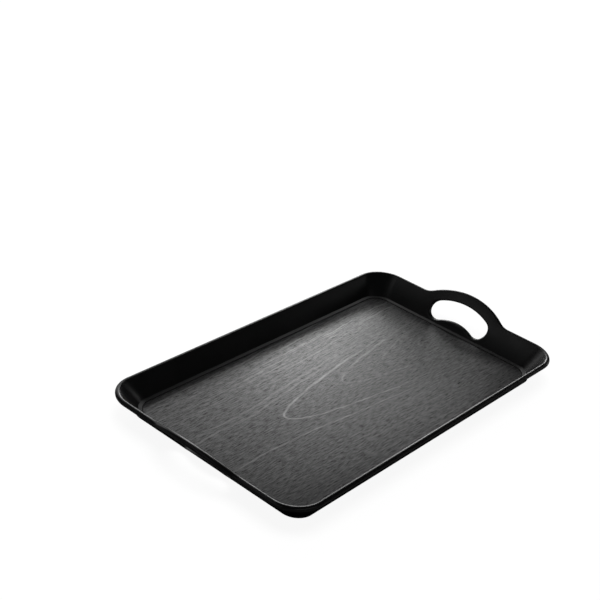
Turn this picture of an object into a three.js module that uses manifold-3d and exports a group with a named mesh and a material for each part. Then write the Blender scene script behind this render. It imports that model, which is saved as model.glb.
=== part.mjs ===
// A flared serving tray: one moulded body with an arched handle at each end,
// a wood grain sheet laid in the floor, and four rubber feet underneath.
// Millimetres, +Z up, length along X. The origin is in the middle of the tray,
// on the surface that the feet stand on.

import * as THREE from 'three';
import { mergeVertices } from 'three/addons/utils/BufferGeometryUtils.js';
import Module from 'manifold-3d';

const wasm = await Module();
wasm.setup();

// Rim and walls
const RIM_LENGTH = 460;           // between the crests of the two end rims
const RIM_WIDTH = 270;            // between the crests of the two long rims
const RIM_CORNER_RADIUS = 32.6;
const RIM_ROLL_RADIUS = 3;        // half the thickness of the rolled edge
const END_FLARE = 21.75;          // how far an end wall leans out from foot to crest
const SIDE_FLARE = 14.85;         // the same for a long wall
const FOOT_CORNER_RADIUS = 23;
const WALL_HEIGHT = 23.4;         // from the ledge to the crest of the rim
const WALL_THICKNESS = 2.8;

// Floor
const LEDGE_WIDTH = 4.2;          // shelf at the foot of the walls
const LEDGE_SLOPE = 13;           // degrees by which it falls inward
const LEDGE_EDGE_RADIUS = 0.4;
const LEDGE_STEP = 1.4;           // height of its outer edge above the sheet
const FLOOR_THICKNESS = 3;
const PLINTH_OUT = 1.2;           // stands out past the foot of the inner face
const PLINTH_HEIGHT = 2.2;
const PLINTH_CORNER_RADIUS = 20;
const PLINTH_EDGE_RADIUS = 0.8;
const BASE_BAND = 16;             // width of the flat band round the underside
const BASE_RELIEF = 1;            // hollow of the underside inside that band

// Wood grain sheet
const SHEET_THICKNESS = 1;
const SHEET_EDGE_BREAK = 0.25;
const SHEET_CLEARANCE = 0.4;      // round the edge of the sheet
const SEAT_GAP = 0.3;             // glue line under the sheet and over the feet

// Handles, drawn on the slope of the end wall
const ARCH_RISE = 18.6;           // of the rim's centre line over the straight rim
const ARCH_RADIUS = 91.3;         // crown of that centre line
const ARCH_BLEND_RADIUS = 27;     // sweep from the straight rim into the crown
const GRIP_WIDTH = 15.7;          // from the outer edge of the rim to the hand slot
const SLOT_WIDTH = 25.2;
const SLOT_SPAN = 83.6;
const SLOT_TILT = 26;             // degrees by which the slot points up from square to the wall
const SLOT_EDGE_BREAK = 1.4;
const COLLAR_WALL = 2.6;          // flange round the slot, on the outside
const COLLAR_DEPTH = 5;           // from the inner face of the wall

// Rubber feet
const PAD_DIAMETER = 16;
const PAD_PROUD = 1.2;            // below the underside
const PAD_EDGE_BREAK = 0.5;
const PAD_INSET = 34;             // pad centres, in from the foot of the walls
const PAD_CLEARANCE = 0.3;
const PAD_RING_WALL = 1.8;        // locating ring moulded round each pad

// Fineness of the facets
const CORNER_STEPS = 8;
const ARCH_STEPS = 28;
const ROLL_STEPS = 10;
const FILLET_STEPS = 3;
const SLOT_CURVE_STEPS = 7;
const PAD_SIDES = 32;

// Reach of the cutters past the faces that they cut
const CUT_OVERRUN = 6;
const JOIN_OVERLAP = 0.5;

// Corners nearer to each other than this are one corner
const MERGE_TOLERANCE = 1e-4;

// Heights
const BASE_Z = PAD_PROUD;
const RECESS_Z = BASE_Z + FLOOR_THICKNESS;
const SHEET_Z = RECESS_Z + SEAT_GAP;
const LEDGE_Z = SHEET_Z + SHEET_THICKNESS + LEDGE_STEP;
const ROLL_Z = LEDGE_Z + WALL_HEIGHT - RIM_ROLL_RADIUS;

// Half sizes of the wall's foot and of the plinth
const FOOT_HALF_LENGTH = RIM_LENGTH / 2 - END_FLARE;
const FOOT_HALF_WIDTH = RIM_WIDTH / 2 - SIDE_FLARE;
const PLINTH_HALF_LENGTH = FOOT_HALF_LENGTH + PLINTH_OUT;
const PLINTH_HALF_WIDTH = FOOT_HALF_WIDTH + PLINTH_OUT;

// Shape of the arch: a crown arc and two arcs that sweep into the straight rim
const CROWN_DROP = ARCH_RADIUS - ARCH_RISE;
const ARC_CENTRES = ARCH_RADIUS + ARCH_BLEND_RADIUS;
const BLEND_END = Math.sqrt(ARC_CENTRES ** 2 - (CROWN_DROP + ARCH_BLEND_RADIUS) ** 2);
const BLEND_START = BLEND_END * ARCH_RADIUS / ARC_CENTRES;

// Shape of the hand slot: a bent slot, concentric with the crown of the arch
const SLOT_RADIUS = ARCH_RADIUS + RIM_ROLL_RADIUS - GRIP_WIDTH - SLOT_WIDTH / 2;
const SLOT_HALF_ANGLE = Math.asin((SLOT_SPAN - SLOT_WIDTH) / 2 / SLOT_RADIUS);

const BLACK_PLASTIC = new THREE.MeshStandardMaterial({ color: 0x0b0b0c, roughness: 0.32, metalness: 0 });
const GREY_GRAIN = new THREE.MeshStandardMaterial({ color: 0x4b4b4d, roughness: 0.5, metalness: 0 });
const BLACK_RUBBER = new THREE.MeshStandardMaterial({ color: 0x1b1b1b, roughness: 0.9, metalness: 0 });

// A closed geometry as a solid, with its shared corners merged and its empty triangles left out
function toSolid(geometry) {
  const bare = geometry.clone();
  bare.deleteAttribute('normal');
  bare.deleteAttribute('uv');
  const merged = mergeVertices(bare, MERGE_TOLERANCE);
  const corners = merged.index.array;
  const triangles = [];
  for (let i = 0; i < corners.length; i += 3) {
    const [a, b, c] = [corners[i], corners[i + 1], corners[i + 2]];
    if (a !== b && b !== c && c !== a) {
      triangles.push(a, b, c);
    }
  }
  const vertProperties = new Float32Array(merged.attributes.position.array);
  const triVerts = new Uint32Array(triangles);
  return new wasm.Manifold(new wasm.Mesh({ numProp: 3, vertProperties, triVerts }));
}

function toGeometry(solid) {
  const { vertProperties, triVerts } = solid.getMesh();
  const geometry = new THREE.BufferGeometry();
  geometry.setAttribute('position', new THREE.BufferAttribute(new Float32Array(vertProperties), 3));
  geometry.setIndex(new THREE.BufferAttribute(new Uint32Array(triVerts), 1));
  geometry.computeVertexNormals();
  return geometry;
}

// Height of the arch over the straight rim, and its slope, at a distance from the middle of the end
function archAt(y) {
  const reach = Math.abs(y);
  if (reach >= BLEND_END) {
    return { rise: 0, slope: 0 };
  }
  const onCrown = reach <= BLEND_START;
  const along = onCrown ? reach : BLEND_END - reach;
  const radius = onCrown ? ARCH_RADIUS : ARCH_BLEND_RADIUS;
  const across = Math.sqrt(radius ** 2 - along ** 2);
  const rise = onCrown ? across - CROWN_DROP : ARCH_BLEND_RADIUS - across;
  return { rise, slope: -Math.sign(y) * along / across };
}

// Stations round a rounded rectangle, counter-clockwise, starting at the +X end.
// Each has its place, the level direction out of the tray, and its offset from the middle of an end.
function stations(halfLength, halfWidth, radius) {
  const list = [];
  const cornerX = halfLength - radius;
  const cornerY = halfWidth - radius;
  for (const end of [1, -1]) {
    for (let step = 0; step < ARCH_STEPS; step++) {
      const offset = BLEND_END * (2 * step / (ARCH_STEPS - 1) - 1);
      list.push({ x: end * halfLength, y: end * offset, out: new THREE.Vector3(end, 0, 0), offset });
    }
    for (const side of [1, -1]) {
      for (let step = 0; step <= CORNER_STEPS; step++) {
        const quarter = side === 1 ? step / CORNER_STEPS : 1 + step / CORNER_STEPS;
        const angle = quarter * Math.PI / 2 + (end === 1 ? 0 : Math.PI);
        const out = new THREE.Vector3(Math.cos(angle), Math.sin(angle), 0);
        const x = end * side * cornerX + radius * out.x;
        const y = end * cornerY + radius * out.y;
        list.push({ x, y, out, offset: Infinity });
      }
    }
  }
  return list;
}

// The wall at one station: the foot of its inner face, its lean, and the centre of the rolled edge.
// The inner face runs up from the foot and meets the roll at a tangent.
function wallFrame(foot, roll) {
  const run = (roll.x - foot.x) * roll.out.x + (roll.y - foot.y) * roll.out.y;
  const rise = ROLL_Z - LEDGE_Z;
  const reach = Math.hypot(run, rise);
  const lean = Math.atan2(run, rise) - Math.asin(RIM_ROLL_RADIUS / reach);
  const up = new THREE.Vector3(0, 0, Math.cos(lean)).addScaledVector(roll.out, Math.sin(lean));
  const normal = new THREE.Vector3(0, 0, -Math.sin(lean)).addScaledVector(roll.out, Math.cos(lean));
  const length = Math.sqrt(reach ** 2 - RIM_ROLL_RADIUS ** 2);
  const base = new THREE.Vector3(foot.x, foot.y, LEDGE_Z);
  const centre = new THREE.Vector3(roll.x, roll.y, ROLL_Z);
  return { out: roll.out, lean, up, normal, length, base, centre };
}

// Points along one cut through floor edge, wall and rim, from the underside over the rim to the floor
function wallSection(plinth, foot, roll) {
  const frame = wallFrame(foot, roll);
  const { out, lean, up, normal } = frame;
  const level = (from, outward, z) => new THREE.Vector3(from.x, from.y, z).addScaledVector(out, outward);
  const points = [level(foot, -BASE_BAND, BASE_Z + BASE_RELIEF), level(foot, -BASE_BAND, BASE_Z)];

  // Plinth with its rounded lower edge, and the foot of the outer face on top of it
  for (let step = 0; step <= FILLET_STEPS; step++) {
    const angle = step / FILLET_STEPS * Math.PI / 2;
    const inward = PLINTH_EDGE_RADIUS * (1 - Math.sin(angle));
    points.push(level(plinth, -inward, BASE_Z + PLINTH_EDGE_RADIUS * (1 - Math.cos(angle))));
  }
  const plinthTop = BASE_Z + PLINTH_HEIGHT;
  points.push(level(plinth, 0, plinthTop));
  const faceOut = WALL_THICKNESS / Math.cos(lean) - (LEDGE_Z - plinthTop) * Math.tan(lean);
  points.push(level(foot, faceOut, plinthTop));

  // Rolled edge, lifted over the arch and kept square to its path
  const { rise, slope } = archAt(roll.offset);
  const along = new THREE.Vector3(-out.y, out.x, 0);
  const crest = up.clone().addScaledVector(along, -slope).normalize();
  const centre = frame.centre.clone().addScaledVector(up, rise);
  const underside = Math.PI + Math.asin((RIM_ROLL_RADIUS - WALL_THICKNESS) / RIM_ROLL_RADIUS);
  for (let step = 0; step <= ROLL_STEPS; step++) {
    const angle = THREE.MathUtils.lerp(underside, -Math.PI / 2, step / ROLL_STEPS);
    const point = centre.clone().addScaledVector(crest, RIM_ROLL_RADIUS * Math.cos(angle));
    points.push(point.addScaledVector(normal, RIM_ROLL_RADIUS * Math.sin(angle)));
  }

  // Foot of the inner face, sloping ledge with its rounded edge, and the step down to the floor
  points.push(frame.base);
  const ledgeSlope = THREE.MathUtils.degToRad(LEDGE_SLOPE);
  const shelf = LEDGE_WIDTH - LEDGE_EDGE_RADIUS;
  const pivotZ = LEDGE_Z - (shelf * Math.sin(ledgeSlope) + LEDGE_EDGE_RADIUS) / Math.cos(ledgeSlope);
  for (let step = 0; step <= FILLET_STEPS; step++) {
    const angle = THREE.MathUtils.lerp(ledgeSlope, Math.PI / 2, step / FILLET_STEPS);
    const outward = -shelf - LEDGE_EDGE_RADIUS * Math.sin(angle);
    points.push(level(foot, outward, pivotZ + LEDGE_EDGE_RADIUS * Math.cos(angle)));
  }
  points.push(level(foot, -LEDGE_WIDTH, RECESS_Z));
  return points;
}

// Skins a ring of sections and closes it with a flat fan below and above
function loft(sections) {
  const rows = sections[0].length;
  const positions = sections.flat().flatMap((point) => point.toArray());
  const below = sections.length * rows;
  const above = below + 1;
  positions.push(0, 0, sections[0][0].z, 0, 0, sections[0][rows - 1].z);
  const index = [];
  sections.forEach((_, at) => {
    const here = at * rows;
    const next = (at + 1) % sections.length * rows;
    index.push(below, next, here, above, here + rows - 1, next + rows - 1);
    for (let row = 0; row < rows - 1; row++) {
      index.push(here + row, next + row, next + row + 1, here + row, next + row + 1, here + row + 1);
    }
  });
  const geometry = new THREE.BufferGeometry();
  geometry.setAttribute('position', new THREE.Float32BufferAttribute(positions, 3));
  geometry.setIndex(index);
  return geometry;
}

function trayShell() {
  const feet = stations(FOOT_HALF_LENGTH, FOOT_HALF_WIDTH, FOOT_CORNER_RADIUS);
  const rolls = stations(RIM_LENGTH / 2, RIM_WIDTH / 2, RIM_CORNER_RADIUS);
  const plinths = stations(PLINTH_HALF_LENGTH, PLINTH_HALF_WIDTH, PLINTH_CORNER_RADIUS);
  return toSolid(loft(feet.map((foot, at) => wallSection(plinths[at], foot, rolls[at]))));
}

// Outline of a slot bent round the origin, open side down
function bentSlot(radius, halfWidth, halfAngle) {
  const right = Math.PI / 2 - halfAngle;
  const left = Math.PI / 2 + halfAngle;
  const lobeX = radius * Math.sin(halfAngle);
  const lobeY = radius * Math.cos(halfAngle);
  const shape = new THREE.Shape();
  shape.absarc(0, 0, radius + halfWidth, right, left, false);
  shape.absarc(-lobeX, lobeY, halfWidth, left, left + Math.PI, false);
  shape.absarc(0, 0, radius - halfWidth, left, right, true);
  shape.absarc(lobeX, lobeY, halfWidth, right - Math.PI, right, false);
  return shape;
}

// Runs an outline drawn on the inner face of the end wall along the slot's own direction,
// between two depths measured square to the wall
function slotPrism(halfWidth, fromDepth, toDepth, edgeBreak) {
  const foot = { x: FOOT_HALF_LENGTH, y: 0 };
  const roll = { x: RIM_LENGTH / 2, y: 0, out: new THREE.Vector3(1, 0, 0) };
  const { up, normal, length, base } = wallFrame(foot, roll);
  const tilt = THREE.MathUtils.degToRad(SLOT_TILT);
  const run = normal.clone().addScaledVector(up, Math.tan(tilt));
  const geometry = new THREE.ExtrudeGeometry(bentSlot(SLOT_RADIUS, halfWidth, SLOT_HALF_ANGLE), {
    depth: toDepth - fromDepth,
    curveSegments: SLOT_CURVE_STEPS,
    bevelEnabled: edgeBreak > 0,
    bevelSize: edgeBreak,
    bevelThickness: edgeBreak,
    bevelSegments: 1,
  });
  const origin = base.clone().addScaledVector(up, length - CROWN_DROP).addScaledVector(run, fromDepth);
  const across = new THREE.Vector3(0, 1, 0);
  return geometry.applyMatrix4(new THREE.Matrix4().makeBasis(across, up, run).setPosition(origin));
}

// The same piece at the +X end and, turned half way round, at the -X end
function atBothEnds(geometry) {
  return [geometry, geometry.clone().rotateZ(Math.PI)].map(toSolid);
}

function padCentres() {
  const x = FOOT_HALF_LENGTH - PAD_INSET;
  const y = FOOT_HALF_WIDTH - PAD_INSET;
  return { front_left: [-x, -y], front_right: [x, -y], rear_left: [-x, y], rear_right: [x, y] };
}

// A body of revolution about +Z from a closed half profile of [radius, height] pairs
function turned(profile) {
  const points = profile.map(([radius, z]) => new THREE.Vector2(radius, z));
  return new THREE.LatheGeometry(points, PAD_SIDES).rotateX(Math.PI / 2);
}

function padRing() {
  const inner = PAD_DIAMETER / 2 + PAD_CLEARANCE;
  const outer = inner + PAD_RING_WALL;
  const top = BASE_Z + BASE_RELIEF + JOIN_OVERLAP;
  return turned([[inner, BASE_Z], [outer, BASE_Z], [outer, top], [inner, top], [inner, BASE_Z]]);
}

function trayBody() {
  const slotHalf = SLOT_WIDTH / 2;
  let solid = trayShell();
  for (const collar of atBothEnds(slotPrism(slotHalf + COLLAR_WALL, WALL_THICKNESS / 2, COLLAR_DEPTH, 0))) {
    solid = solid.add(collar);
  }
  for (const cut of atBothEnds(slotPrism(slotHalf, -CUT_OVERRUN, COLLAR_DEPTH + CUT_OVERRUN, 0))) {
    solid = solid.subtract(cut);
  }
  for (const flare of atBothEnds(slotPrism(slotHalf, -CUT_OVERRUN, 0, SLOT_EDGE_BREAK))) {
    solid = solid.subtract(flare);
  }
  for (const [x, y] of Object.values(padCentres())) {
    solid = solid.add(toSolid(padRing().translate(x, y, 0)));
  }
  return toGeometry(solid);
}

// The sheet fills the floor inside the ledge
function woodgrainSheet() {
  const inset = LEDGE_WIDTH + SHEET_CLEARANCE;
  const x = FOOT_HALF_LENGTH - inset - SHEET_EDGE_BREAK;
  const y = FOOT_HALF_WIDTH - inset - SHEET_EDGE_BREAK;
  const radius = FOOT_CORNER_RADIUS - inset - SHEET_EDGE_BREAK;
  const outline = new THREE.Shape();
  outline.absarc(x - radius, y - radius, radius, 0, Math.PI / 2);
  outline.absarc(radius - x, y - radius, radius, Math.PI / 2, Math.PI);
  outline.absarc(radius - x, radius - y, radius, Math.PI, 1.5 * Math.PI);
  outline.absarc(x - radius, radius - y, radius, 1.5 * Math.PI, 2 * Math.PI);
  return new THREE.ExtrudeGeometry(outline, {
    depth: SHEET_THICKNESS - 2 * SHEET_EDGE_BREAK,
    curveSegments: CORNER_STEPS / 2,
    bevelEnabled: true,
    bevelSize: SHEET_EDGE_BREAK,
    bevelThickness: SHEET_EDGE_BREAK,
    bevelSegments: 1,
  }).translate(0, 0, SHEET_Z + SHEET_EDGE_BREAK);
}

function rubberPad() {
  const radius = PAD_DIAMETER / 2;
  const top = BASE_Z + BASE_RELIEF - SEAT_GAP;
  return turned([[0, 0], [radius - PAD_EDGE_BREAK, 0], [radius, PAD_EDGE_BREAK], [radius, top], [0, top]]);
}

function part(name, geometry, material) {
  const mesh = new THREE.Mesh(geometry, material);
  mesh.name = name;
  return mesh;
}

const tray = new THREE.Group();
tray.name = 'tray';
tray.add(part('tray_body', trayBody(), BLACK_PLASTIC));
tray.add(part('woodgrain_sheet', toGeometry(toSolid(woodgrainSheet())), GREY_GRAIN));
for (const [corner, [x, y]] of Object.entries(padCentres())) {
  const pad = part(`rubber_foot_${corner}`, toGeometry(toSolid(rubberPad())), BLACK_RUBBER);
  pad.position.set(x, y, 0);
  tray.add(pad);
}

export default tray;
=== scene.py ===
"""A black plastic serving tray with arched handles and a wood grain floor, on a white studio floor."""
import math
from collections import namedtuple

import bmesh
import bpy
from mathutils import Matrix, Vector


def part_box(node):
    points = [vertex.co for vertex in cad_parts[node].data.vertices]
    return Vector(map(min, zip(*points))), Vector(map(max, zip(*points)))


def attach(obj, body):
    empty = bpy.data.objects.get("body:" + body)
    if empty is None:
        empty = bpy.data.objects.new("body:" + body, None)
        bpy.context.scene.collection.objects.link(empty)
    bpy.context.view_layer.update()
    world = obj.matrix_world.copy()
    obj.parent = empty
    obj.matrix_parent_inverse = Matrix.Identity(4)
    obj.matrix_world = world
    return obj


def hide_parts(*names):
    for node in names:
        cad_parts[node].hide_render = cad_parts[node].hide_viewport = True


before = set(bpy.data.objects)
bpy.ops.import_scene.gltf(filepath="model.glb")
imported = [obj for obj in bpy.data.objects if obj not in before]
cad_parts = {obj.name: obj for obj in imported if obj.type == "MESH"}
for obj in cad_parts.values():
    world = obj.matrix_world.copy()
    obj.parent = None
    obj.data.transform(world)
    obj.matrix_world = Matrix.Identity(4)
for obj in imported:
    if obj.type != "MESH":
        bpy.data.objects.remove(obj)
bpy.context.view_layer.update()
BODY_LOW, BODY_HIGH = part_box("tray_body")
SHEET_LOW, SHEET_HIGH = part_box("woodgrain_sheet")
FEET = [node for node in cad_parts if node.startswith("rubber_foot")]

UP = Vector((0, 0, 1))
CENTRE = (0, 0, 0)
Station = namedtuple("Station", "place out offset")
Wall = namedtuple("Wall", "base centre up normal length lean")
Section = namedtuple("Section", "rows open_rows")
Pad = namedtuple("Pad", "node centre radius low high")
Arch = namedtuple("Arch", "tip heart bend strengths")
SideLine = namedtuple("SideLine", "spread strengths")
Relief = namedtuple("Relief", "strength distance")
Lamp = namedtuple("Lamp", "name place size watts target tilt in_gloss", defaults=(CENTRE, 0.0, True))

# Rim and walls, in metres
RIM_HALF_LENGTH = 0.230
RIM_HALF_WIDTH = 0.135
RIM_CORNER_RADIUS = 0.0326
ROLL_RADIUS = 0.0029          # a hair under the faceted rim, so that the round one stays inside it
END_FLARE = 0.02175           # how far an end wall leans out from foot to crest
SIDE_FLARE = 0.01485          # the same for a long wall
FOOT_CORNER_RADIUS = 0.023
WALL_HEIGHT = 0.0234          # from the ledge to the crest of the rim
WALL_THICKNESS = 0.0028
LIP_FILLET = math.radians(20)     # how far round the roll the fillet under its lip reaches
FACE_MARGIN = 0.0008          # strip of flat wall kept beside each rounding
BOW_RADIUS = 0.114            # of the slight inward bulge of the inner faces, from foot to top
BOW_STEP = 0.003              # height of one row of a bulging face
BOW_COLUMNS = 4               # stations of the arch to one column of a handle's bulging face

# Foot of the walls, ledge and underside
FOOT_FILLET = 0.0005
LEDGE_WIDTH = 0.0042
LEDGE_SLOPE = math.radians(13)    # by which the ledge falls inward
LEDGE_EDGE_RADIUS = 0.0004
LEDGE_STEP = 0.0014           # height of its outer edge above the sheet
SEAT_GAP = 0.0003
PLINTH_OUT = 0.0012
PLINTH_HEIGHT = 0.0022
PLINTH_CORNER_RADIUS = 0.020
PLINTH_EDGE_RADIUS = 0.0008
PLINTH_TOP_RADIUS = 0.0003
BASE_BAND = 0.016
BASE_RELIEF = 0.001
BAND_EDGE_RADIUS = 0.0003

# Handles, drawn on the slope of the end wall
ARCH_RADIUS = 0.0913
ARCH_BLEND_RADIUS = 0.027
GRIP_WIDTH = 0.0157
SLOT_WIDTH = 0.0252
SLOT_SPAN = 0.0836
SLOT_TILT = math.radians(26)
SLOT_LIP_RADIUS = 0.002       # rounding of the slot's edge on the inside of the tray
COLLAR_WALL = 0.0026
COLLAR_DEPTH = 0.005
COLLAR_EDGE_RADIUS = 0.0006

# Rubber feet and the rings that locate them
PAD_CLEARANCE = 0.0003
PAD_EDGE_RADIUS = 0.0006
RING_WALL = 0.0018
RING_EDGE_RADIUS = 0.0003

# Sheet
SHEET_CLEARANCE = 0.0004
SHEET_EDGE_RADIUS = 0.00025

# Fineness of the meshes
ARCH_STEPS = 72
CORNER_STEPS = 24
ROLL_STEPS = 30
FILLET_STEPS = 6
SLOT_ARC_STEPS = 48
SLOT_CAP_STEPS = 24
PAD_STEPS = 64
SHARP_ANGLE = math.radians(40)
CUT_TOLERANCE = 1e-6

# Satin black plastic: soft clouds of tone and gloss, and a fine relief
PLASTIC_TONES = ((0.0022, 0.0022, 0.0023, 1), (0.0032, 0.0032, 0.0033, 1))
PLASTIC_ROUGHNESS = (0.29, 0.34)
PLASTIC_IOR = 1.36
PLASTIC_RELIEF = Relief(0.03, 0.0001)
CLOUD_SCALE = 25.0
CLOUD_DETAIL = 3.0
CLOUD_RANGE = (0.3, 0.7)      # noise at the glossiest and at the dullest places
MOULD_GRAIN_SCALE = 2200.0

# Matt black rubber
RUBBER_TONES = ((0.008, 0.008, 0.008, 1), (0.016, 0.016, 0.016, 1))
RUBBER_ROUGHNESS = (0.75, 0.9)
RUBBER_RELIEF = Relief(0.3, 0.0002)
RUBBER_GRAIN_SCALE = 900.0
RUBBER_GRAIN_DETAIL = 4.0
RUBBER_GRAIN_RANGE = (0.3, 0.7)

# Growth lines of the wood grain. Each has one strength on the near side of its heart line, towards -Y,
# and one on the far side.
GRAIN_ARCHES = (
    Arch(tip=-0.091, heart=0.0013, bend=0.0092, strengths=(0.78, 1.0)),
    Arch(tip=0.013, heart=0.0095, bend=0.0078, strengths=(0.28, 0.5)),
    Arch(tip=0.087, heart=0.0095, bend=0.0068, strengths=(0.15, 0.25)),
    Arch(tip=0.150, heart=0.0050, bend=0.0062, strengths=(0.12, 0.2)),
)
SIDE_LINES = (
    SideLine(spread=0.0283, strengths=(0.65, 0.4)),
    SideLine(spread=0.037, strengths=(0.1, 0.4)),
)
SIDE_BEND = 0.0082
SIDE_OPENING = -0.110         # where along the sheet the side lines start to open
LINE_CORE = 0.0003            # half width over which a line has its full strength
LINE_EDGES = (0.0013, 0.0021)     # half width of a line on the near and on the far side
LINE_TURN = 0.004             # distance from the heart at which a line has passed to its other side
LINE_FADE = (0.09, 0.24)      # distances ahead of the tip between which a line fades out
LINE_TONE = (0.05, 0.05, 0.049, 1)
LINE_SHEEN = 0.75             # specular level that a line adds

# Noise that moves the growth lines, and noise that breaks them
WANDER_SCALE = 22.0
WANDER_DETAIL = 4.0
WANDER_ROUGHNESS = 0.6
WANDER_MIDDLE = (0.5, 0.5, 0.5)
WANDER_REACH = (0.008, 0.008, 0.0)
BREAK_STRETCH = (28.0, 60.0, 1.0)
BREAK_RANGE = (0.3, 0.6)
BREAK_STRENGTHS = (0.4, 1.0)

# Long light streaks outside the side lines
STREAK_STRETCH = (9.0, 400.0, 1.0)
STREAK_RANGE = (0.5, 0.66)
STREAK_STRENGTH = 0.65
STREAK_START = 0.02           # distance from the opened lines at which streaks have their full strength
STREAK_BAND = (0.05, 0.075)       # distances from the middle between which streaks grow stronger
STREAK_BAND_STRENGTHS = (0.35, 1.0)
STREAK_GROWTH = (-0.15, 0.06)     # places along the sheet between which they do so too
STREAK_GROWTH_STRENGTHS = (0.4, 1.0)

# Short fibres, from the dullest to the brightest
FIBRE_STRETCH = (95.0, 680.0, 1.0)
FIBRE_DETAIL = 4.0
FIBRE_NOISE_ROUGHNESS = 0.78
FIBRE_RANGE = (0.33, 0.67)
FIBRE_TONES = ((0.004, 0.004, 0.004, 1), (0.016, 0.016, 0.0162, 1))
FIBRE_SHEEN = (0.0, 1.05)     # specular level
FIBRE_ROUGHNESS = (0.31, 0.28)
SHEET_IOR = 1.42
SHEET_RELIEF = Relief(0.3, 0.0001)

# Camera, fitted to the outlines in the photograph
CAMERA_PLACE = (-0.9700, -0.6870, 0.7575)
CAMERA_YAW = math.radians(51.80)
CAMERA_PITCH = math.radians(28.58)
CAMERA_ROLL = math.radians(7.62)
FOCAL_PIXELS = 1259.7
IMAGE_PIXELS = 600
SENSOR_WIDTH = 36.0

# Lamps: the overhead one gives the plain level of light, and the others show as sheen
LAMPS = (
    Lamp("overhead_softbox", (0, 0, 2.4), (1.6, 1.6), 40, in_gloss=False),
    Lamp("strip_light", (1.002, 0.829, 0.337), (0.72, 0.40), 5.9, (0, 0, 0.337), math.radians(55.3)),
    Lamp("upper_light", (0.762, 0.934, 0.892), (1.56, 0.52), 4.5),
    Lamp("back_fill", (0.25, 1.28, 0.3), (0.5, 0.5), 1.0),
    Lamp("right_fill", (1.21, -0.46, 0.2), (0.4, 0.38), 0.5),
    Lamp("left_fill", (-0.573, 0.62, 1.263), (0.6, 0.2), 0.45, (0.22, 0, 0.02)),
    Lamp("front_panel", (-0.35, -1.30, 0.62), (1.5, 0.42), 1.2),
    Lamp("side_panel", (-1.33, 0.30, 0.60), (1.2, 0.36), 0.8),
)
WORLD_COLOUR = (1, 1, 1, 1)
WORLD_STRENGTH = 0.01

# Studio floor: how much it glows at some distances from the tray, as seen directly and as mirrored
FLOOR_HALF_SIZE = 30.0
FLOOR_COLOUR = (0.12, 0.12, 0.12, 1)
SEEN_DISTANCES = (0.3, 1.5)
SEEN_GLOW = (0.92, 1.0)
MIRRORED_DISTANCES = (0.5, 2.0)
MIRRORED_GLOW = (0.0, 1.0)

# Heights and half sizes that follow from the above and from the frame
BASE_Z = BODY_LOW.z
RELIEF_Z = BASE_Z + BASE_RELIEF
RECESS_Z = SHEET_LOW.z - SEAT_GAP
LEDGE_Z = SHEET_HIGH.z + LEDGE_STEP
ROLL_Z = LEDGE_Z + WALL_HEIGHT - ROLL_RADIUS
FOOT_HALF_LENGTH = RIM_HALF_LENGTH - END_FLARE
FOOT_HALF_WIDTH = RIM_HALF_WIDTH - SIDE_FLARE


def wall_at(foot, roll):
    """The wall over one point of its foot: its inner face meets the rolled edge at a tangent."""
    run = (roll.place - foot.place).dot(roll.out)
    rise = ROLL_Z - LEDGE_Z
    reach = math.hypot(run, rise)
    lean = math.atan2(run, rise) - math.asin(ROLL_RADIUS / reach)
    up = UP * math.cos(lean) + roll.out * math.sin(lean)
    normal = roll.out * math.cos(lean) - UP * math.sin(lean)
    length = math.sqrt(reach ** 2 - ROLL_RADIUS ** 2)
    return Wall(foot.place + UP * LEDGE_Z, roll.place + UP * ROLL_Z, up, normal, length, lean)


def station(x, y, out, offset=math.inf):
    """A place on an outline, its outward direction and its distance from the middle of a handle."""
    return Station(Vector((x, y, 0)), Vector(out), offset)


# Sizes of the handles that follow from the slope of the end wall. The arch rises until the roll on its
# crown reaches the top of the part.
END_WALL = wall_at(station(FOOT_HALF_LENGTH, 0, (1, 0, 0)), station(RIM_HALF_LENGTH, 0, (1, 0, 0)))
ARCH_RISE = (BODY_HIGH.z - ROLL_RADIUS - ROLL_Z) / math.cos(END_WALL.lean)
CROWN_DROP = ARCH_RADIUS - ARCH_RISE
ARC_CENTRES = ARCH_RADIUS + ARCH_BLEND_RADIUS
BLEND_END = math.sqrt(ARC_CENTRES ** 2 - (CROWN_DROP + ARCH_BLEND_RADIUS) ** 2)
BLEND_START = BLEND_END * ARCH_RADIUS / ARC_CENTRES
SLOT_HALF_WIDTH = SLOT_WIDTH / 2
SLOT_RADIUS = ARCH_RADIUS + ROLL_RADIUS - GRIP_WIDTH - SLOT_HALF_WIDTH
SLOT_HALF_ANGLE = math.asin((SLOT_SPAN - SLOT_WIDTH) / 2 / SLOT_RADIUS)
WALL_TOP = ROLL_Z - LEDGE_Z - END_WALL.normal.z * ROLL_RADIUS


def arch_at(offset):
    """Rise of the arch over the straight rim and its slope, at a distance from the middle of an end."""
    reach = abs(offset)
    if reach >= BLEND_END:
        return 0.0, 0.0
    on_crown = reach <= BLEND_START
    along = reach if on_crown else BLEND_END - reach
    radius = ARCH_RADIUS if on_crown else ARCH_BLEND_RADIUS
    across = math.sqrt(radius ** 2 - along ** 2)
    rise = across - CROWN_DROP if on_crown else ARCH_BLEND_RADIUS - across
    return rise, -math.copysign(along / across, offset)


def stations(half_length, half_width, radius):
    """Stations round a rounded rectangle, counter-clockwise, starting at the +X end."""
    found = []
    for end in (1, -1):
        for step in range(ARCH_STEPS + 1):
            offset = BLEND_END * (2 * step / ARCH_STEPS - 1)
            found.append(station(end * half_length, end * offset, (end, 0, 0), offset))
        for side in (1, -1):
            for step in range(CORNER_STEPS + 1):
                quarter = step / CORNER_STEPS + (0 if side == 1 else 1) + (0 if end == 1 else 2)
                angle = quarter * math.pi / 2
                out = Vector((math.cos(angle), math.sin(angle), 0))
                x = end * side * (half_length - radius) + radius * out.x
                y = end * (half_width - radius) + radius * out.y
                found.append(station(x, y, out))
    return found


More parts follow.
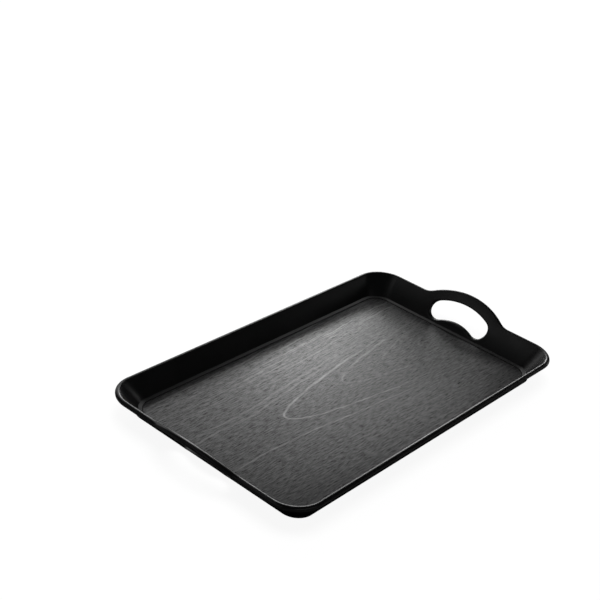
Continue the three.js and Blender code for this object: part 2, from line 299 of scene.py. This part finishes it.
def quarter_turn():
    """(sine, cosine) pairs from 0 to 90 degrees."""
    angles = [step / FILLET_STEPS * math.pi / 2 for step in range(FILLET_STEPS + 1)]
    return [(math.sin(angle), math.cos(angle)) for angle in angles]


def underside_rows(plinth, foot):
    """Relief, flat band and plinth with its rounded edges."""
    rows = [foot.place - foot.out * BASE_BAND + UP * RELIEF_Z]
    inner = foot.place - foot.out * (BASE_BAND - BAND_EDGE_RADIUS)
    for sine, cosine in quarter_turn():
        inward = BAND_EDGE_RADIUS * cosine
        rows.append(inner - foot.out * inward + UP * (BASE_Z + BAND_EDGE_RADIUS * (1 - sine)))
    for sine, cosine in quarter_turn():
        inward = PLINTH_EDGE_RADIUS * (1 - sine)
        rows.append(plinth.place - foot.out * inward + UP * (BASE_Z + PLINTH_EDGE_RADIUS * (1 - cosine)))
    top = BASE_Z + PLINTH_HEIGHT - PLINTH_TOP_RADIUS
    for sine, cosine in quarter_turn():
        inward = PLINTH_TOP_RADIUS * (1 - cosine)
        rows.append(plinth.place - foot.out * inward + UP * (top + PLINTH_TOP_RADIUS * sine))
    return rows


def outer_rows(foot, wall, crest, centre):
    """Outer face of the wall and the fillet under the lip of the roll."""
    plinth_top = BASE_Z + PLINTH_HEIGHT
    out = WALL_THICKNESS / math.cos(wall.lean) - (LEDGE_Z - plinth_top) * math.tan(wall.lean)
    start = foot.place + foot.out * out + UP * plinth_top
    face = WALL_THICKNESS - ROLL_RADIUS
    tangent = (ROLL_RADIUS * math.sin(LIP_FILLET) - face) / math.cos(LIP_FILLET)
    corner = -ROLL_RADIUS * math.cos(LIP_FILLET) - tangent * math.sin(LIP_FILLET)
    below = Vector((corner - tangent, face))
    middle = Vector((corner, face))
    on_roll = Vector((-ROLL_RADIUS * math.cos(LIP_FILLET), ROLL_RADIUS * math.sin(LIP_FILLET)))
    rows = [start, start + wall.up * FACE_MARGIN]
    rows.append(centre + crest * (below.x - FACE_MARGIN) + wall.normal * below.y)
    for step in range(FILLET_STEPS):
        share = step / FILLET_STEPS
        bend = below * (1 - share) ** 2 + middle * 2 * share * (1 - share) + on_roll * share ** 2
        rows.append(centre + crest * bend.x + wall.normal * bend.y)
    return rows


def roll_rows(wall, crest, centre):
    """The rolled edge, from the end of the fillet under its lip to the inner face."""
    first = math.pi - LIP_FILLET
    last = -math.pi / 2
    rows = []
    for step in range(ROLL_STEPS + 1):
        angle = first + (last - first) * step / ROLL_STEPS
        across = crest * math.cos(angle) + wall.normal * math.sin(angle)
        rows.append(centre + across * ROLL_RADIUS)
    return rows


def inner_rows(foot, wall, face_top):
    """Inner face, the fillet at its foot, the sloping ledge with its rounded edge and the recess."""
    inward = -foot.out * math.cos(LEDGE_SLOPE) - UP * math.sin(LEDGE_SLOPE)
    square = UP * math.cos(LEDGE_SLOPE) - foot.out * math.sin(LEDGE_SLOPE)
    turn = math.pi / 2 - LEDGE_SLOPE - wall.lean
    tangent = FOOT_FILLET * math.tan(turn / 2)
    rows = [face_top - wall.up * FACE_MARGIN, wall.base + wall.up * (tangent + FACE_MARGIN / 2)]
    pivot = wall.base + inward * tangent + square * FOOT_FILLET
    for step in range(FILLET_STEPS + 1):
        angle = wall.lean + turn * step / FILLET_STEPS
        rows.append(pivot + (foot.out * math.cos(angle) - UP * math.sin(angle)) * FOOT_FILLET)
    shelf = LEDGE_WIDTH - LEDGE_EDGE_RADIUS
    drop = (shelf * math.sin(LEDGE_SLOPE) + LEDGE_EDGE_RADIUS) / math.cos(LEDGE_SLOPE)
    pivot = wall.base - foot.out * shelf - UP * drop
    for step in range(FILLET_STEPS + 1):
        angle = LEDGE_SLOPE + (math.pi / 2 - LEDGE_SLOPE) * step / FILLET_STEPS
        rows.append(pivot + (UP * math.cos(angle) - foot.out * math.sin(angle)) * LEDGE_EDGE_RADIUS)
    rows.append(foot.place - foot.out * LEDGE_WIDTH + UP * RECESS_Z)
    return rows


def body_section(plinth, foot, roll):
    """Rows of points from the underside over the rim to the floor, and which of them start the two faces."""
    wall = wall_at(foot, roll)
    rise, slope = arch_at(roll.offset)
    along = Vector((-roll.out.y, roll.out.x, 0))
    crest = (wall.up - along * slope).normalized()
    centre = wall.centre + wall.up * rise
    below = underside_rows(plinth, foot)
    outside = outer_rows(foot, wall, crest, centre)
    rolled = roll_rows(wall, crest, centre)
    inside = inner_rows(foot, wall, rolled[-1])
    outer_face = len(below) + 1
    inner_face = len(below) + len(outside) + len(rolled)
    return Section(below + outside + rolled + inside, (outer_face, inner_face))


def arc(pivot, radius, first, last, steps):
    """Points on an arc without its last one. Its angles count from the upright."""
    angles = [first + (last - first) * step / steps for step in range(steps)]
    return [pivot + Vector((math.sin(angle), math.cos(angle))) * radius for angle in angles]


def bent_slot(half_width):
    """Outline of the hand slot on the slope of the end wall, bent round the centre of the arch."""
    half = SLOT_HALF_ANGLE
    middle = Vector((0, 0))
    right_cap = Vector((math.sin(half), math.cos(half))) * SLOT_RADIUS
    left_cap = Vector((-math.sin(half), math.cos(half))) * SLOT_RADIUS
    points = arc(middle, SLOT_RADIUS + half_width, -half, half, SLOT_ARC_STEPS)
    points += arc(right_cap, half_width, half, half + math.pi, SLOT_CAP_STEPS)
    points += arc(middle, SLOT_RADIUS - half_width, half, -half, SLOT_ARC_STEPS)
    points += arc(left_cap, half_width, math.pi - half, 2 * math.pi - half, SLOT_CAP_STEPS)
    return points


def slot_rings():
    """(half width, depth) of each ring from the inner face through the slot to the outer face."""
    rings = [(SLOT_HALF_WIDTH + SLOT_LIP_RADIUS + FACE_MARGIN / 2, 0)]
    for sine, cosine in quarter_turn():
        rings.append((SLOT_HALF_WIDTH + SLOT_LIP_RADIUS * (1 - sine), SLOT_LIP_RADIUS * (1 - cosine)))
    inner_edge = COLLAR_DEPTH - COLLAR_EDGE_RADIUS
    for sine, cosine in quarter_turn():
        half_width = SLOT_HALF_WIDTH + COLLAR_EDGE_RADIUS * (1 - cosine)
        rings.append((half_width, inner_edge + COLLAR_EDGE_RADIUS * sine))
    outer_edge = SLOT_HALF_WIDTH + COLLAR_WALL - COLLAR_EDGE_RADIUS
    for sine, cosine in quarter_turn():
        rings.append((outer_edge + COLLAR_EDGE_RADIUS * sine, inner_edge + COLLAR_EDGE_RADIUS * cosine))
    rings.append((SLOT_HALF_WIDTH + COLLAR_WALL, WALL_THICKNESS))
    rings.append((SLOT_HALF_WIDTH + COLLAR_WALL + FACE_MARGIN / 2, WALL_THICKNESS))
    return rings


def ring_on_wall(half_width, depth, end):
    """A ring of the slot at its place on one end of the tray."""
    run = END_WALL.normal + END_WALL.up * math.tan(SLOT_TILT)
    origin = END_WALL.base + END_WALL.up * (END_WALL.length - CROWN_DROP) + run * depth
    turn = Matrix.Diagonal((end, end, 1))
    across = Vector((0, 1, 0))
    return [turn @ (origin + across * p.x + END_WALL.up * p.y) for p in bent_slot(half_width)]


def add_loop(bm, points):
    """New points of the mesh."""
    return [bm.verts.new(point) for point in points]


def skin(bm, loops):
    """Quads between neighbouring closed loops of as many points each."""
    for here, there in zip(loops, loops[1:]):
        for at in range(len(here)):
            after = (at + 1) % len(here)
            bm.faces.new((here[at], here[after], there[after], there[at]))


def closed_edges(bm, loop):
    """The edges round a closed loop of points, made where they are missing."""
    pairs = zip(loop, loop[1:] + loop[:1])
    return [bm.edges.get(pair) or bm.edges.new(pair) for pair in pairs]


def faces_of(geometry):
    """The faces among the parts of a mesh."""
    return [part for part in geometry if isinstance(part, bmesh.types.BMFace)]


def fill_flat(bm, *loops):
    """Fills a flat outline, less the outlines inside it."""
    edges = [edge for loop in loops for edge in closed_edges(bm, loop)]
    filled = bmesh.ops.triangle_fill(bm, use_beauty=True, edges=edges)
    return faces_of(filled["geom"])


def bisect(bm, faces, place, normal):
    """Cuts faces along a plane and returns all the pieces."""
    parts = {}
    for face in faces:
        for part in (face, *face.edges, *face.verts):
            parts[part] = True
    cut = bmesh.ops.bisect_plane(bm, geom=list(parts), plane_co=place, plane_no=normal, dist=CUT_TOLERANCE)
    return faces_of(cut["geom"])


def shell(bm):
    """Floor edge, walls and rim all the way round, open where the handles' walls are filled in later."""
    feet = stations(FOOT_HALF_LENGTH, FOOT_HALF_WIDTH, FOOT_CORNER_RADIUS)
    rolls = stations(RIM_HALF_LENGTH, RIM_HALF_WIDTH, RIM_CORNER_RADIUS)
    plinths = stations(FOOT_HALF_LENGTH + PLINTH_OUT, FOOT_HALF_WIDTH + PLINTH_OUT, PLINTH_CORNER_RADIUS)
    sections = [body_section(plinth, foot, roll) for plinth, foot, roll in zip(plinths, feet, rolls)]
    columns = [add_loop(bm, section.rows) for section in sections]
    open_rows = sections[0].open_rows
    inner = []
    for at, here in enumerate(columns):
        after = (at + 1) % len(columns)
        there = columns[after]
        on_handle = max(abs(rolls[at].offset), abs(rolls[after].offset)) <= BLEND_END
        for row in range(len(here) - 1):
            if on_handle and row in open_rows:
                continue
            face = bm.faces.new((here[row], there[row], there[row + 1], here[row + 1]))
            if row == open_rows[1]:
                inner.append(face)
    return columns, open_rows, inner


def fill_window(bm, window, row, ring):
    """Fills the wall of a handle between two rows of its columns, less a ring of the slot."""
    lower = [column[row] for column in window]
    upper = [column[row + 1] for column in reversed(window)]
    return fill_flat(bm, lower + upper, ring)


def handle_walls(bm, columns, open_rows):
    """Both end walls round the hand slots, and the slots. Gives the inner faces and the slots' lips."""
    outer_row, inner_row = open_rows
    inner = []
    lips = []
    for end, first in ((1, 0), (-1, len(columns) // 2)):
        rings = [add_loop(bm, ring_on_wall(width, depth, end)) for width, depth in slot_rings()]
        skin(bm, rings)
        window = columns[first:first + ARCH_STEPS + 1]
        fill_window(bm, window, outer_row, rings[-1])
        faces = fill_window(bm, window, inner_row, rings[0])
        for at in range(BOW_COLUMNS, ARCH_STEPS, BOW_COLUMNS):
            faces = bisect(bm, faces, window[at][0].co, (0, 1, 0))
        inner += faces
        lips += [point for ring in rings[1:FILLET_STEPS + 2] for point in ring]
    return inner, lips


def bow_at(place):
    """How far an inner face bulges: nothing at its foot and its top, most halfway up."""
    height = place.z - LEDGE_Z
    on_end = abs(place.y) < BLEND_END and abs(place.x) > FOOT_HALF_LENGTH - END_FLARE
    rise = arch_at(place.y)[0] if on_end else 0.0
    top = WALL_TOP + rise * math.cos(END_WALL.lean)
    return max(height * (top - height), 0.0) / (2 * BOW_RADIUS)


def bulge(bm, inner, lips):
    """Bows the inner faces of the walls inward a little, and the lips of the slots with them."""
    rows = int((BODY_HIGH.z - LEDGE_Z) / BOW_STEP)
    for row in range(1, rows):
        inner = bisect(bm, inner, UP * (LEDGE_Z + row * BOW_STEP), UP)
    bmesh.ops.recalc_face_normals(bm, faces=bm.faces)
    bm.normal_update()
    inward = {}
    for face in inner:
        for point in face.verts:
            inward[point] = point.normal.copy()
    for point in lips:
        inward[point] = Vector((math.copysign(END_WALL.normal.x, -point.co.x), 0, -END_WALL.normal.z))
    for point, direction in inward.items():
        point.co += direction * bow_at(point.co)


def foot_pads():
    """Place and size of each rubber foot, from the frame."""
    pads = []
    for node in FEET:
        low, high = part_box(node)
        pads.append(Pad(node, (low + high) / 2, (high.x - low.x) / 2, low.z, high.z))
    return pads


def circle(centre, radius, z):
    """Points round a circle at one height."""
    angles = [2 * math.pi * step / PAD_STEPS for step in range(PAD_STEPS)]
    return [Vector((centre.x + radius * math.cos(a), centre.y + radius * math.sin(a), z)) for a in angles]


def underside(bm, columns):
    """Hollow of the underside with the rings that locate the feet."""
    outlines = [[column[0] for column in columns]]
    for pad in foot_pads():
        inner = pad.radius + PAD_CLEARANCE
        outer = inner + RING_WALL
        rings = [(outer, RELIEF_Z)]
        for sine, cosine in quarter_turn():
            rings.append((outer - RING_EDGE_RADIUS * (1 - cosine), BASE_Z + RING_EDGE_RADIUS * (1 - sine)))
        for sine, cosine in quarter_turn():
            rings.append((inner + RING_EDGE_RADIUS * (1 - sine), BASE_Z + RING_EDGE_RADIUS * (1 - cosine)))
        rings.append((inner, RELIEF_Z))
        loops = [add_loop(bm, circle(pad.centre, radius, z)) for radius, z in rings]
        skin(bm, loops)
        bm.faces.new(loops[-1])
        outlines.append(loops[0])
    fill_flat(bm, *outlines)


def link(name, data):
    """A new object of the scene."""
    piece = bpy.data.objects.new(name, data)
    bpy.context.scene.collection.objects.link(piece)
    return piece


def to_object(name, bm, material):
    """A smooth shaded object from a closed mesh, sharp only at its hard corners."""
    bmesh.ops.recalc_face_normals(bm, faces=bm.faces)
    mesh = bpy.data.meshes.new(name)
    bm.to_mesh(mesh)
    bm.free()
    mesh.shade_smooth()
    mesh.set_sharp_from_angle(angle=SHARP_ANGLE)
    mesh.materials.append(material)
    return link(name, mesh)


def dress(piece, node):
    """The piece stands for a node of the frame: it hangs from the root body, and the frame's own part is
    hidden.
    """
    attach(piece, "root")
    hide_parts(node)


def tray_body():
    """The moulding: floor, walls, rim and handles in one closed mesh."""
    bm = bmesh.new()
    columns, open_rows, inner = shell(bm)
    handle_faces, lips = handle_walls(bm, columns, open_rows)
    underside(bm, columns)
    bm.faces.new([column[-1] for column in columns])
    bulge(bm, inner + handle_faces, lips)
    piece = to_object("moulded_tray", bm, black_plastic())
    dress(piece, "tray_body")


def solid_of_loops(bm, loops):
    """Closes a stack of loops with a face at either end."""
    skin(bm, loops)
    bm.faces.new(loops[0])
    bm.faces.new(loops[-1])


def woodgrain_sheet():
    """The flat sheet in the floor, with its edges just broken."""
    bm = bmesh.new()
    corner = FOOT_CORNER_RADIUS - LEDGE_WIDTH - SHEET_CLEARANCE
    edge = SHEET_EDGE_RADIUS
    levels = [(edge * (1 - sine), SHEET_LOW.z + edge * (1 - cosine)) for sine, cosine in quarter_turn()]
    levels += [(edge * (1 - cosine), SHEET_HIGH.z - edge * (1 - sine)) for sine, cosine in quarter_turn()]
    loops = []
    for inset, z in levels:
        outline = stations(SHEET_HIGH.x - inset, SHEET_HIGH.y - inset, corner - inset)
        loops.append(add_loop(bm, [point.place + UP * z for point in outline]))
    solid_of_loops(bm, loops)
    piece = to_object("grain_sheet", bm, wood_grain())
    dress(piece, "woodgrain_sheet")


def rubber_feet():
    """Four round pads with a rounded lower edge."""
    rubber = black_rubber()
    for pad in foot_pads():
        bm = bmesh.new()
        edge = PAD_EDGE_RADIUS
        turns = quarter_turn()
        profile = [(pad.radius - edge * (1 - sine), pad.low + edge * (1 - cosine)) for sine, cosine in turns]
        profile.append((pad.radius, pad.high))
        loops = [add_loop(bm, circle(pad.centre, radius, z)) for radius, z in profile]
        solid_of_loops(bm, loops)
        piece = to_object(pad.node.replace("rubber_foot", "foot_pad"), bm, rubber)
        dress(piece, pad.node)


class Nodes:
    """A short way to write a material's or the world's nodes."""

    # Numbers of the colour sockets of a Mix node
    MIX_FIRST = 6
    MIX_SECOND = 7
    MIX_RESULT = 2

    def __init__(self, owner):
        owner.use_nodes = True
        self.tree = owner.node_tree
        self.tree.nodes.clear()

    def add(self, kind, inputs=None, **settings):
        """A node with its settings and with a value or a link for each input."""
        node = self.tree.nodes.new(kind)
        for name, value in settings.items():
            setattr(node, name, value)
        for name, value in (inputs or {}).items():
            self.put(node.inputs[name], value)
        return node

    def put(self, socket, value):
        """Links a socket to another one, or sets its value."""
        if isinstance(value, bpy.types.NodeSocket):
            self.tree.links.new(value, socket)
        else:
            socket.default_value = value

    def place(self):
        """The place of each point of the surface."""
        return self.add("ShaderNodeNewGeometry").outputs["Position"]

    def math(self, operation, *values):
        """The result of one sum."""
        node = self.add("ShaderNodeMath", dict(enumerate(values)), operation=operation)
        return node.outputs[0]

    def vector(self, operation, *values):
        """The node of one sum on vectors."""
        return self.add("ShaderNodeVectorMath", dict(enumerate(values)), operation=operation)

    def span(self, value, low, high, to_low=0.0, to_high=1.0, kind="SMOOTHSTEP"):
        """Maps a value from one range to another, held at its ends."""
        inputs = {"Value": value, "From Min": low, "From Max": high, "To Min": to_low, "To Max": to_high}
        return self.add("ShaderNodeMapRange", inputs, interpolation_type=kind).outputs["Result"]

    def noise(self, vector, scale=1.0, detail=2.0, roughness=0.5):
        """The outputs of a noise node."""
        inputs = {"Vector": vector, "Scale": scale, "Detail": detail, "Roughness": roughness}
        return self.add("ShaderNodeTexNoise", inputs).outputs

    def stretched(self, vector, scale):
        """Coordinates with a scale of their own along each axis."""
        inputs = {"Vector": vector, "Scale": scale}
        return self.add("ShaderNodeMapping", inputs).outputs["Vector"]

    def blend(self, share, first, second):
        """A colour between two others."""
        node = self.add("ShaderNodeMix", data_type="RGBA")
        self.put(node.inputs["Factor"], share)
        self.put(node.inputs[self.MIX_FIRST], first)
        self.put(node.inputs[self.MIX_SECOND], second)
        return node.outputs[self.MIX_RESULT]

    def surface(self, inputs, height, relief):
        """The finished material: a Principled shader with a relief."""
        bump_inputs = {"Strength": relief.strength, "Distance": relief.distance, "Height": height}
        bump = self.add("ShaderNodeBump", bump_inputs)
        shader = self.add("ShaderNodeBsdfPrincipled", {**inputs, "Normal": bump.outputs["Normal"]})
        self.add("ShaderNodeOutputMaterial", {"Surface": shader.outputs["BSDF"]})


def black_plastic():
    """Satin black moulding: a fine even grain and slight differences of gloss."""
    material = bpy.data.materials.new("satin_black_plastic")
    nodes = Nodes(material)
    place = nodes.place()
    cloud = nodes.noise(place, CLOUD_SCALE, CLOUD_DETAIL)["Fac"]
    grain = nodes.noise(place, MOULD_GRAIN_SCALE)["Fac"]
    inputs = {
        "Base Color": nodes.blend(cloud, *PLASTIC_TONES),
        "Roughness": nodes.span(cloud, *CLOUD_RANGE, *PLASTIC_ROUGHNESS),
        "IOR": PLASTIC_IOR,
    }
    nodes.surface(inputs, grain, PLASTIC_RELIEF)
    return material


def black_rubber():
    """Matt rubber with a rough skin."""
    material = bpy.data.materials.new("matt_black_rubber")
    nodes = Nodes(material)
    grain = nodes.noise(nodes.place(), RUBBER_GRAIN_SCALE, RUBBER_GRAIN_DETAIL)["Fac"]
    inputs = {
        "Base Color": nodes.blend(grain, *RUBBER_TONES),
        "Roughness": nodes.span(grain, *RUBBER_GRAIN_RANGE, *RUBBER_ROUGHNESS),
    }
    nodes.surface(inputs, grain, RUBBER_RELIEF)
    return material


def wandering(nodes, place):
    """The coordinates along and across the sheet, moved a little by noise so that lines waver."""
    wander = nodes.noise(place, WANDER_SCALE, WANDER_DETAIL, WANDER_ROUGHNESS)["Color"]
    offset = nodes.vector("SUBTRACT", wander, WANDER_MIDDLE).outputs["Vector"]
    moved = nodes.vector("MULTIPLY_ADD", offset, WANDER_REACH, place).outputs["Vector"]
    axes = nodes.add("ShaderNodeSeparateXYZ", {"Vector": moved})
    return axes.outputs["X"], axes.outputs["Y"]


def ring_line(nodes, across, reach_squared, ahead, bend, strengths):
    """A line where the square of the distance from the heart equals a given square; it fades far ahead."""
    square = nodes.math("MULTIPLY", across, across)
    miss = nodes.math("ABSOLUTE", nodes.math("SUBTRACT", square, reach_squared))
    steepness = nodes.math("SQRT", nodes.math("MULTIPLY_ADD", square, 4.0, bend ** 2))
    distance = nodes.math("DIVIDE", miss, steepness)
    edge = nodes.span(across, -LINE_TURN, LINE_TURN, *LINE_EDGES)
    line = nodes.span(distance, LINE_CORE, edge, 1.0, 0.0)
    fade = nodes.span(ahead, *LINE_FADE, 1.0, 0.0)
    strength = nodes.span(across, -LINE_TURN, LINE_TURN, *strengths)
    return nodes.math("MULTIPLY", nodes.math("MULTIPLY", line, fade), strength)


def beyond_opening(nodes, x):
    """Distance along the sheet from where the side lines start to open."""
    return nodes.math("MAXIMUM", nodes.math("SUBTRACT", x, SIDE_OPENING), 0.0)


def growth_lines(nodes, x, y):
    """Light lines where the sheet cuts the growth rings: nested arches, and side lines round them."""
    lines = []
    for arch in GRAIN_ARCHES:
        across = nodes.math("SUBTRACT", y, arch.heart)
        ahead = nodes.math("SUBTRACT", x, arch.tip)
        reach_squared = nodes.math("MULTIPLY", ahead, arch.bend)
        lines.append(ring_line(nodes, across, reach_squared, ahead, arch.bend, arch.strengths))
    ahead = beyond_opening(nodes, x)
    for side in SIDE_LINES:
        reach_squared = nodes.math("MULTIPLY_ADD", ahead, SIDE_BEND, side.spread ** 2)
        lines.append(ring_line(nodes, y, reach_squared, ahead, SIDE_BEND, side.strengths))
    total = lines[0]
    for line in lines[1:]:
        total = nodes.math("MAXIMUM", total, line)
    return total


def broken_lines(nodes, place, x, y):
    """The growth lines, weaker in some places."""
    noise = nodes.noise(nodes.stretched(place, BREAK_STRETCH))["Fac"]
    strength = nodes.span(noise, *BREAK_RANGE, *BREAK_STRENGTHS)
    return nodes.math("MULTIPLY", growth_lines(nodes, x, y), strength)


def long_streaks(nodes, x, y):
    """Streaks along the side lines: each keeps the height that it has where those lines are straight."""
    opened = nodes.math("MULTIPLY", beyond_opening(nodes, x), SIDE_BEND)
    outside = nodes.math("SUBTRACT", nodes.math("MULTIPLY", y, y), opened)
    square = nodes.math("MAXIMUM", outside, 0.0)
    height = nodes.math("MULTIPLY", nodes.math("SQRT", square), nodes.math("SIGN", y))
    flow = nodes.add("ShaderNodeCombineXYZ", {"X": x, "Y": height}).outputs["Vector"]
    noise = nodes.noise(nodes.stretched(flow, STREAK_STRETCH))["Fac"]
    strength = nodes.math("MULTIPLY", nodes.span(noise, *STREAK_RANGE), STREAK_STRENGTH)
    for share in (
        nodes.span(square, 0.0, STREAK_START ** 2),
        nodes.span(height, *STREAK_BAND, *STREAK_BAND_STRENGTHS),
        nodes.span(x, *STREAK_GROWTH, *STREAK_GROWTH_STRENGTHS),
    ):
        strength = nodes.math("MULTIPLY", strength, share)
    return strength


def wood_grain():
    """Dark grey wood grain: arched growth lines, long streaks at the sides and short fibres all over."""
    material = bpy.data.materials.new("grey_wood_grain")
    nodes = Nodes(material)
    place = nodes.place()
    x, y = wandering(nodes, place)
    light = nodes.math("MAXIMUM", broken_lines(nodes, place, x, y), long_streaks(nodes, x, y))
    along = nodes.stretched(place, FIBRE_STRETCH)
    fibre = nodes.noise(along, detail=FIBRE_DETAIL, roughness=FIBRE_NOISE_ROUGHNESS)["Fac"]
    tone = nodes.blend(nodes.span(fibre, *FIBRE_RANGE, kind="LINEAR"), *FIBRE_TONES)
    fibre_sheen = nodes.span(fibre, *FIBRE_RANGE, *FIBRE_SHEEN, kind="LINEAR")
    line_sheen = nodes.math("MULTIPLY", light, LINE_SHEEN)
    inputs = {
        "Base Color": nodes.blend(light, tone, LINE_TONE),
        "Roughness": nodes.span(fibre, *FIBRE_RANGE, *FIBRE_ROUGHNESS, kind="LINEAR"),
        "IOR": SHEET_IOR,
        "Specular IOR Level": nodes.math("ADD", fibre_sheen, line_sheen),
    }
    nodes.surface(inputs, fibre, SHEET_RELIEF)
    return material


def white_floor():
    """A white that glows as it is seen or mirrored, and takes the tray's shadow."""
    material = bpy.data.materials.new("white_floor")
    nodes = Nodes(material)
    distance = nodes.vector("LENGTH", nodes.place()).outputs["Value"]
    path = nodes.add("ShaderNodeLightPath").outputs
    mirrored = nodes.math("MAXIMUM", path["Is Glossy Ray"], path["Is Transmission Ray"])
    reflected = nodes.math("MULTIPLY", mirrored, nodes.span(distance, *MIRRORED_DISTANCES, *MIRRORED_GLOW))
    seen = nodes.math("MULTIPLY", path["Is Camera Ray"], nodes.span(distance, *SEEN_DISTANCES, *SEEN_GLOW))
    diffuse = nodes.add("ShaderNodeBsdfDiffuse", {"Color": FLOOR_COLOUR})
    emission = nodes.add("ShaderNodeEmission", {"Strength": nodes.math("ADD", seen, reflected)})
    both = nodes.add("ShaderNodeAddShader", {0: diffuse.outputs["BSDF"], 1: emission.outputs["Emission"]})
    nodes.add("ShaderNodeOutputMaterial", {"Surface": both.outputs["Shader"]})
    return material


def studio_floor():
    """A white floor that shows the tray's shadow and stays white out to the horizon."""
    bm = bmesh.new()
    bmesh.ops.create_grid(bm, x_segments=1, y_segments=1, size=FLOOR_HALF_SIZE)
    mesh = bpy.data.meshes.new("studio_floor")
    bm.to_mesh(mesh)
    bm.free()
    mesh.materials.append(white_floor())
    floor = link("studio_floor", mesh)


def camera():
    """The camera of the photograph, rolled a little about its axis."""
    data = bpy.data.cameras.new("camera")
    data.sensor_width = SENSOR_WIDTH
    data.lens = FOCAL_PIXELS / IMAGE_PIXELS * SENSOR_WIDTH
    piece = link("camera", data)
    turn = Matrix.Rotation(-CAMERA_YAW, 4, "Z") @ Matrix.Rotation(math.pi / 2 - CAMERA_PITCH, 4, "X")
    piece.matrix_world = Matrix.Translation(CAMERA_PLACE) @ turn @ Matrix.Rotation(CAMERA_ROLL, 4, "Z")
    bpy.context.scene.camera = piece


def softbox(lamp):
    """A rectangular lamp that faces its target, turned about its own axis by its tilt."""
    data = bpy.data.lights.new(lamp.name, "AREA")
    data.shape = "RECTANGLE"
    data.size, data.size_y = lamp.size
    data.energy = lamp.watts
    piece = link(lamp.name, data)
    aim = (Vector(lamp.target) - Vector(lamp.place)).to_track_quat("-Z", "Y").to_matrix().to_4x4()
    piece.matrix_world = Matrix.Translation(lamp.place) @ aim @ Matrix.Rotation(lamp.tilt, 4, "Z")
    piece.visible_glossy = lamp.in_gloss
    piece.visible_camera = False


def lights():
    """The lamps and a faint even world."""
    for lamp in LAMPS:
        softbox(lamp)
    world = bpy.data.worlds.new("studio")
    bpy.context.scene.world = world
    nodes = Nodes(world)
    background = nodes.add("ShaderNodeBackground", {"Color": WORLD_COLOUR, "Strength": WORLD_STRENGTH})
    nodes.add("ShaderNodeOutputWorld", {"Surface": background.outputs["Background"]})


camera()
tray_body()
woodgrain_sheet()
rubber_feet()
studio_floor()
lights()
bpy.context.scene.view_settings.view_transform = "Standard"
